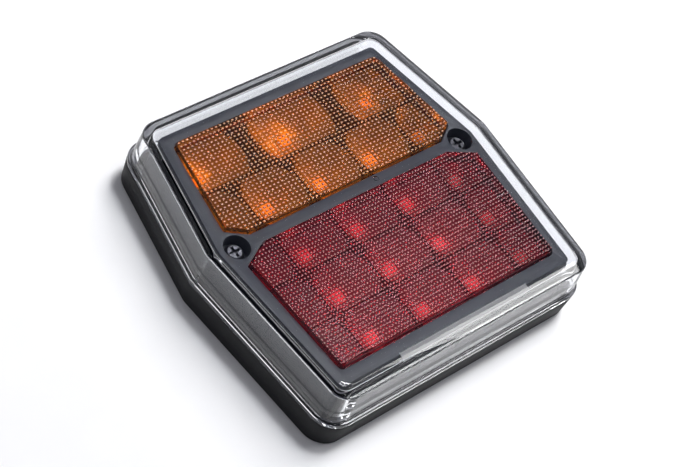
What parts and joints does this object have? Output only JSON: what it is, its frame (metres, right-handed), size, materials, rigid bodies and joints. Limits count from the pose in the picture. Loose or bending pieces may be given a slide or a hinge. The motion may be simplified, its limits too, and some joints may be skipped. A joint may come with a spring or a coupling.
{
  "type": "trailer tail light",
  "caption": "Six-sided LED trailer tail light: clear cover over amber indicator and red tail and stop lenses in a grey bezel, black housing, flat back with threaded inserts.",
  "frame": {"origin": "middle of the flat back face, centred on the bounding box", "axes": "+Z out of the clear front, +Y towards the amber indicator end, +X to the right as seen facing the front; the waist corners and the mirror plane lie at y = 5.4 mm and x = 0"},
  "size_m": [0.1048, 0.0974, 0.0215],
  "materials": {
    "housing_black": "matte moulded",
    "gasket_rubber": "matte",
    "insert_brass": "machined",
    "vent_grey": "matte",
    "seal_grey": "matte",
    "clear_cover": "polished clear",
    "bezel_grey": "fine grained",
    "screw_steel": "zinc plated",
    "amber_lens": "moulded dot optics",
    "red_lens": "moulded dot optics",
    "reflector_chrome": "metallised",
    "board_green": "solder mask",
    "led_amber": "satin",
    "led_red": "satin",
    "led_white": "satin",
    "component_black": "matte",
    "capacitor_tan": "satin"
  },
  "bodies": {
    "root": {"base_housing": "housing_black", "back_gasket": "gasket_rubber", "threaded_inserts": "insert_brass", "cable_grommet": "gasket_rubber", "breather_vent": "vent_grey", "lens_seal": "seal_grey", "outer_lens": "clear_cover", "bezel_frame": "bezel_grey", "bezel_screws": "screw_steel", "amber_lens": "amber_lens", "red_lens": "red_lens", "indicator_reflector": "reflector_chrome", "tail_reflector": "reflector_chrome", "circuit_board": "board_green", "board_screws": "screw_steel", "indicator_leds": "led_amber", "tail_stop_leds": "led_red", "plate_light_board": "board_green", "plate_light_leds": "led_white", "plate_link_pins": "insert_brass", "voltage_regulators": "component_black", "series_resistors": "component_black", "polarity_diodes": "component_black", "smoothing_capacitors": "capacitor_tan", "terminal_pins": "insert_brass"}
  },
  "joints": []
}
